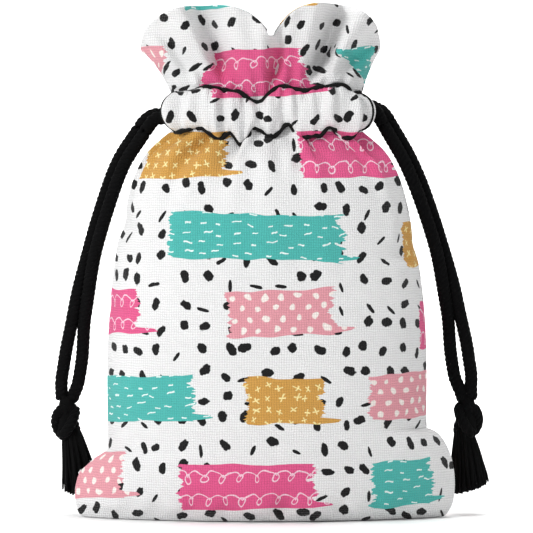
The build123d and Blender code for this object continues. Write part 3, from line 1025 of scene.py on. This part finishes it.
# The print's strips of tape, in cloth millimetres: colour, middle x and z, half width, tilt in degrees.
# All have the same half height. The cloth's edges and sewn lines hide parts of some.
PATCH_HALF_HEIGHT = 8.8
PATCHES = (
    ("mustard", -36.5, 141.0, 19.8, 1.0), ("magenta", 35.0, 141.2, 22.0, 0.5),
    ("teal", -5.0, 109.6, 33.5, -1.5), ("mustard", 68.0, 106.5, 9.0, 1.0),
    ("pink", 5.0, 80.5, 20.0, 2.5), ("magenta", -72.0, 80.5, 19.0, 1.0),
    ("magenta", 75.0, 75.0, 8.0, 0.0), ("teal", -57.0, 47.0, 28.5, 2.0),
    ("mustard", 6.5, 47.0, 14.2, -1.0), ("pink", 66.0, 48.5, 26.0, 2.0),
    ("pink", -80.0, 16.5, 21.0, 3.0), ("magenta", -8.0, 14.0, 26.0, 1.0),
    ("teal", 55.0, 14.5, 13.5, 3.0), ("magenta", -3.8, 172.5, 23.0, 2.0),
    ("teal", 57.0, 173.5, 9.5, 4.0), ("pink", -62.5, 174.0, 9.0, 0.0),
    ("teal", -28.0, 205.5, 13.5, 3.0), ("mustard", 16.0, 206.4, 6.5, 6.0),
)
TEAR_ROOM = 10.0  # how far past its half width a strip's ragged ends may reach
EDGE_ROOM = 3.0
FAR_OFF = (0.0, -500.0, 0.0)  # a strip for places that have none near
KINDS = ("mustard", "magenta", "teal", "pink")
INK = {
    "mustard": (0.62, 0.33, 0.075, 1), "magenta": (0.74, 0.10, 0.26, 1),
    "teal": (0.075, 0.46, 0.42, 1), "pink": (0.76, 0.33, 0.38, 1),
}
MOTIF_INK = {
    "mustard": (0.93, 0.80, 0.38, 1), "magenta": (0.90, 0.62, 0.72, 1),
    "teal": (0.80, 0.93, 0.91, 1), "pink": (0.92, 0.84, 0.80, 1),
}
FLECK_INK = (0.006, 0.006, 0.0065, 1)
WHITE = (0.84, 0.84, 0.84, 1)
SHADED_WHITE = (0.79, 0.79, 0.795, 1)
WEAVE_PITCH = 0.95
CRISP = 0.12  # how soft the edges of printed shapes are, in millimetres
FINE = 0.1


def nearest_tape(n, x, y):
    """The strip of tape whose surroundings hold this place: (x, z, half width), (tilt, seed, kind)."""
    place, looks = FAR_OFF, (0.0, 0.0, 0.0)
    for i, (kind, middle, z, half, tilt) in enumerate(PATCHES):
        near_x = n.math("LESS_THAN", abs(x - middle), half + TEAR_ROOM)
        near_y = n.math("LESS_THAN", abs(y - z), PATCH_HALF_HEIGHT + EDGE_ROOM)
        near = near_x * near_y
        place = n.mix_vector(near, place, (middle, z, half))
        looks = n.mix_vector(near, looks, (math.radians(tilt), i + 1.0, KINDS.index(kind)))
    return place, looks


def torn_strip(n, x, y, half, seed):
    """The mask of one strip: gently wavy long edges, ragged ends, and a sliver at the lower right."""
    tear = (n.noise(n.vector(seed * 7.3, y), 0.24, 3.0, 0.85) - 0.5) * 12.0
    sliver = n.step(abs(y + PATCH_HALF_HEIGHT * 0.83), 0.9, 0.5) * 7.0
    right = half + (tear + sliver)
    left = half + (n.noise(n.vector(seed * 3.1, y), 0.3, 3.0, 0.85) - 0.5) * 8.0
    ends = n.step(x, right, CRISP) * n.step(x * -1.0, left, CRISP)
    edge = (n.noise(n.vector(x, seed * 5.7), 0.07, 1.0) - 0.5) * 2.4 + PATCH_HALF_HEIGHT
    return ends * n.step(abs(y), edge, CRISP)


def flecks(n, cloth):
    """Scattered black flecks: ovals, rounded blocks and thin dashes, each turned its own way."""
    x, y, a, b, c = n.cells(cloth, 9.0, 0.58)
    x, y = n.turn(x, y, a * 6.28)
    thin = n.math("LESS_THAN", b, 0.24)
    long_half = c * 0.8 + 1.9
    wide_half = b * 0.75 + 1.1 - thin * 0.5
    outline = (abs(x) / long_half) ** 2.2 + (abs(y) / wide_half) ** 2.2
    wobble = (n.noise(cloth, 0.55, 1.0) - 0.5) * 1.3
    return n.step(outline + wobble, 1.0, 0.16)


def dashes(n, x, y):
    """Short wavy dashes, longer than high, so their cells are stretched sideways."""
    stretch = 0.6
    dx, dy, a, b, _ = n.cells(n.vector(x * stretch, y), 3.9, 0.55)
    dx, dy = n.turn(dx / stretch, dy, (a - 0.4) * 0.4)
    dy = dy + n.math("SINE", dx * 2.4) * 0.1
    return n.step(abs(dx), b * 0.9 + 0.9, FINE) * n.step(abs(dy), 0.27, FINE)


def wrapped(n, value, period):
    """value, counted from the middle of the repeat it falls in."""
    return (n.math("FRACT", value / period + 0.5) - 0.5) * period


def loops(n, x, y):
    """Two rows of arches with a small slanted loop hanging at each joint."""
    pitch = 6.6
    row = wrapped(n, y + 4.6, 8.9)
    column = wrapped(n, x + y * 0.1, pitch)
    lean = (column - row * 0.22) / 0.66
    drop = row + 1.0
    loop = n.step(abs(n.math("SQRT", lean**2.0 + drop**2.0) - 1.45), 0.27, FINE)
    swing = abs(n.math("SINE", column * (math.pi / pitch)))
    line = n.step(abs(row - (swing**0.7 * 2.2 - 0.4)), 0.26, FINE)
    return n.math("MAXIMUM", loop, line)


def dots(n, x, y):
    """Soft-cornered dots in staggered rows."""
    rise = 4.2
    row = n.math("FLOOR", y / rise)
    dx = wrapped(n, x + row * 3.3, 6.4)
    dy = y - row * rise - rise / 2
    wobble = (n.noise(n.vector(x, y), 0.5, 1.0) - 0.5) * 0.9
    return n.step(n.math("SQRT", dx**2.0 + dy**2.0) + wobble, 1.15, 0.25)


def crosses(n, x, y):
    """Small crosses, each turned its own way."""
    dx, dy, a, _, _ = n.cells(n.vector(x, y), 4.6, 0.4)
    dx, dy = n.turn(dx, dy, a * 1.6)
    flat_x, flat_y = abs(dx), abs(dy)
    bar = n.step(flat_x, 1.3, CRISP) * n.step(flat_y, 0.26, FINE)
    post = n.step(flat_y, 1.3, CRISP) * n.step(flat_x, 0.26, FINE)
    return n.math("MAXIMUM", bar, post)


MOTIFS = {"mustard": crosses, "magenta": loops, "teal": dashes, "pink": dots}


def printed_colour(n, cloth, ground):
    """The print over a ground colour: flecks first, then the strips of tape with their motifs."""
    colour = n.mix(flecks(n, cloth), ground, FLECK_INK)
    cloth_x, cloth_y, _ = n.split(cloth)
    place, looks = nearest_tape(n, cloth_x, cloth_y)
    middle_x, middle_y, half = n.split(place)
    tilt, seed, kind = n.split(looks)
    x, y = n.turn(cloth_x - middle_x, cloth_y - middle_y, tilt)
    mask = torn_strip(n, x, y, half, seed)
    x = x + n.noise(cloth, 0.13, 1.0) * 4.0  # the motifs wander, as if drawn by hand
    y = y + (n.noise(cloth, 0.17, 1.0) - 0.5) * 2.0
    for number, name in enumerate(KINDS):
        chosen = mask * n.math("COMPARE", kind, float(number), 0.5)
        colour = n.mix(chosen, colour, INK[name])
        colour = n.mix(chosen * MOTIFS[name](n, x, y), colour, MOTIF_INK[name])
    return colour


def weave(n, cloth):
    """Height of a plain weave, 0 in the holes and 1 on top of the threads, with slubs."""
    x, y, _ = n.split(cloth)
    wander = (n.noise(cloth, 0.22) - 0.5) * 0.9
    across, along = (x + wander) / WEAVE_PITCH, (y + wander) / WEAVE_PITCH
    warp = abs(n.math("SINE", across * math.pi))
    weft = abs(n.math("SINE", along * math.pi))
    parity = n.math("PINGPONG", n.math("FLOOR", across) + n.math("FLOOR", along), 1.0)
    over = warp * parity + weft * n.math("SUBTRACT", 1.0, parity)
    both = warp**0.6 * weft**0.6
    slub = n.noise(n.vector(x * 0.25, y * 1.2), 1.0, 3.0)
    return (over * 0.45 + both * 0.55) * (slub * 0.5 + 0.75)


def new_material(name):
    material = bpy.data.materials.new(name)
    material.use_nodes = True
    material.node_tree.nodes.clear()
    return material, Nodes(material.node_tree)


def finish_material(n, colour, roughness, bump, strength, distance, sheen=0.0, specular=0.3):
    bump_inputs = {"Strength": strength, "Distance": distance, "Height": bump}
    shader = n.value("ShaderNodeBsdfPrincipled", inputs={
        "Base Color": colour,
        "Roughness": roughness,
        "Normal": n.value("ShaderNodeBump", inputs=bump_inputs),
        "Sheen Weight": sheen,
        "Sheen Roughness": 0.5,
        "Specular IOR Level": specular,
    })
    n.add("ShaderNodeOutputMaterial", inputs={0: shader})


def canvas_material(name, printed):
    """White canvas, with painted shade in the holes of its weave."""
    material, n = new_material(name)
    cloth = n.scaled(n.value("ShaderNodeUVMap", {"uv_map": "Cloth"}), 1 / MM)
    height = weave(n, cloth)
    ground = n.mix(n.noise(cloth, 0.03, 3.0), WHITE, SHADED_WHITE)
    colour = printed_colour(n, cloth, ground) if printed else ground
    # Painted shade: the colour is darkened where the weave is low, in the holes between its threads.
    settings = {"operation": "ADD", "use_clamp": True}
    shade = n.value("ShaderNodeMath", settings, {0: 0.80, 1: height * 0.25})
    painted_weave_shade = n.value("ShaderNodeCombineColor", inputs={0: shade, 1: shade, 2: shade})
    colour = n.mix(1.0, colour, painted_weave_shade, "MULTIPLY")
    finish_material(n, colour, 0.88, height, 0.8, 0.35 * MM, sheen=0.12, specular=0.2)
    return material


def cord_material():
    """Matt black fibres."""
    material, n = new_material("black_cord")
    place = n.value("ShaderNodeTexCoord", output="Object")
    fibre = n.noise(place, 2600.0, 3.0, 0.6, "3D")
    tone = n.noise(place, 160.0, dimensions="3D")
    dark, light = (0.0015, 0.0015, 0.0016, 1), (0.005, 0.005, 0.0053, 1)
    colour = n.mix((fibre + tone) * 0.5, dark, light)
    finish_material(n, colour, 0.85, fibre, 0.35, 0.3 * MM, sheen=0.008, specular=0.05)
    return material


def thread_material(name, dark, light):
    material, n = new_material(name)
    fibre = n.noise(n.value("ShaderNodeTexCoord", output="Object"), 3500.0, 2.0, 0.6, "3D")
    colour = n.mix(fibre, dark, light)
    finish_material(n, colour, 0.75, fibre, 0.3, 0.2 * MM, sheen=0.03, specular=0.12)
    return material


def paper_material():
    """The stage's matt white."""
    material, n = new_material("stage_paper")
    place = n.value("ShaderNodeTexCoord", output="Object")
    tone = n.mix(n.noise(place, 3.0, 1.0, dimensions="3D"), (0.90, 0.90, 0.90, 1), (0.92, 0.92, 0.92, 1))
    finish_material(n, tone, 0.95, n.noise(place, 40.0, dimensions="3D"), 0.02, 1.0 * MM)
    return material


# ---- stage

FLOOR_WIDTH = 5.0  # metres, as everything on the stage
FLOOR_FRONT = -1.2
FLOOR_BACK = 1.6
FLOOR_SWEEP = 0.5  # radius of the turn up into the background
FLOOR_RISE = 1.4
FLOOR_GAP = 0.15  # millimetres under the pouch
VIEW_HEIGHT = 0.2079  # height of the picture, at the pouch
VIEW_CENTRE = Vector((-0.0002, 0, 0.0977))
VIEW_ELEVATION = math.radians(1.0)
LENS = 240
SENSOR = 36


def add_stage():
    """A plain white floor that runs up into a white background."""
    profile = [(FLOOR_FRONT, 0.0)]
    for a in np.linspace(0, math.pi / 2, 25):
        profile.append((FLOOR_BACK + FLOOR_SWEEP * math.sin(a), FLOOR_SWEEP * (1 - math.cos(a))))
    profile.append((FLOOR_BACK + FLOOR_SWEEP, FLOOR_RISE + FLOOR_SWEEP))
    half = FLOOR_WIDTH / 2
    points = [(x / MM, y / MM, z / MM - FLOOR_GAP) for y, z in profile for x in (-half, half)]
    faces = [(i, i + 1, i + 3, i + 2) for i in range(0, len(points) - 2, 2)]
    new_object("stage_floor", points, faces, [paper_material()])


def add_light(name, place, target, size, power):
    data = bpy.data.lights.new(name, "AREA")
    data.shape = "DISK"
    data.size = size
    data.energy = power
    light = bpy.data.objects.new(name, data)
    bpy.context.scene.collection.objects.link(light)
    light.location = place
    light.rotation_mode = "QUATERNION"
    light.rotation_quaternion = (Vector(target) - Vector(place)).to_track_quat("-Z", "Y")


def add_lights():
    """A soft key from the front left, a weaker top light, and a light on the background alone."""
    world = bpy.data.worlds.new("studio")
    world.use_nodes = True
    background = world.node_tree.nodes["Background"].inputs
    background["Color"].default_value = (1, 1, 1, 1)
    background["Strength"].default_value = 0.56
    bpy.context.scene.world = world
    middle = (0, 0, 0.1)
    add_light("key", (-0.8, -0.8, 0.75), middle, 0.45, 10.1)
    add_light("top", (0.1, 0.0, 1.2), middle, 0.6, 5.6)
    add_light("backdrop", (0.0, 0.7, 1.2), (0, 1.9, 0.3), 1.2, 40.0)


def add_camera():
    """Nearly level with the pouch, in front of it."""
    data = bpy.data.cameras.new("camera")
    data.lens = LENS
    data.sensor_width = SENSOR
    camera = bpy.data.objects.new("camera", data)
    bpy.context.scene.collection.objects.link(camera)
    back = Vector((0, -math.cos(VIEW_ELEVATION), math.sin(VIEW_ELEVATION)))
    camera.location = VIEW_CENTRE + back * VIEW_HEIGHT * LENS / SENSOR
    camera.rotation_mode = "QUATERNION"
    camera.rotation_quaternion = (-back).to_track_quat("-Z", "Y")
    bpy.context.scene.camera = camera


# ---- build

printed = canvas_material("printed_canvas", True)
plain = canvas_material("plain_canvas", False)
black_cord = cord_material()
black_thread = thread_material("black_thread", (0.002, 0.002, 0.002, 1), (0.01, 0.01, 0.01, 1))
white_thread = thread_material("white_thread", (0.6, 0.6, 0.58, 1), (0.8, 0.8, 0.78, 1))

make_panels(printed, plain)
make_casings(printed, plain)
make_ruffles(printed)
make_stitches(black_thread)
make_runs(black_cord)
make_bights(black_cord)
make_tails(black_cord)
make_knots(black_cord)
make_tassels(black_cord)
make_tacks(black_thread)
make_seams(plain, white_thread)
add_stage()
add_lights()
add_camera()
bpy.context.scene.view_settings.view_transform = "Standard"
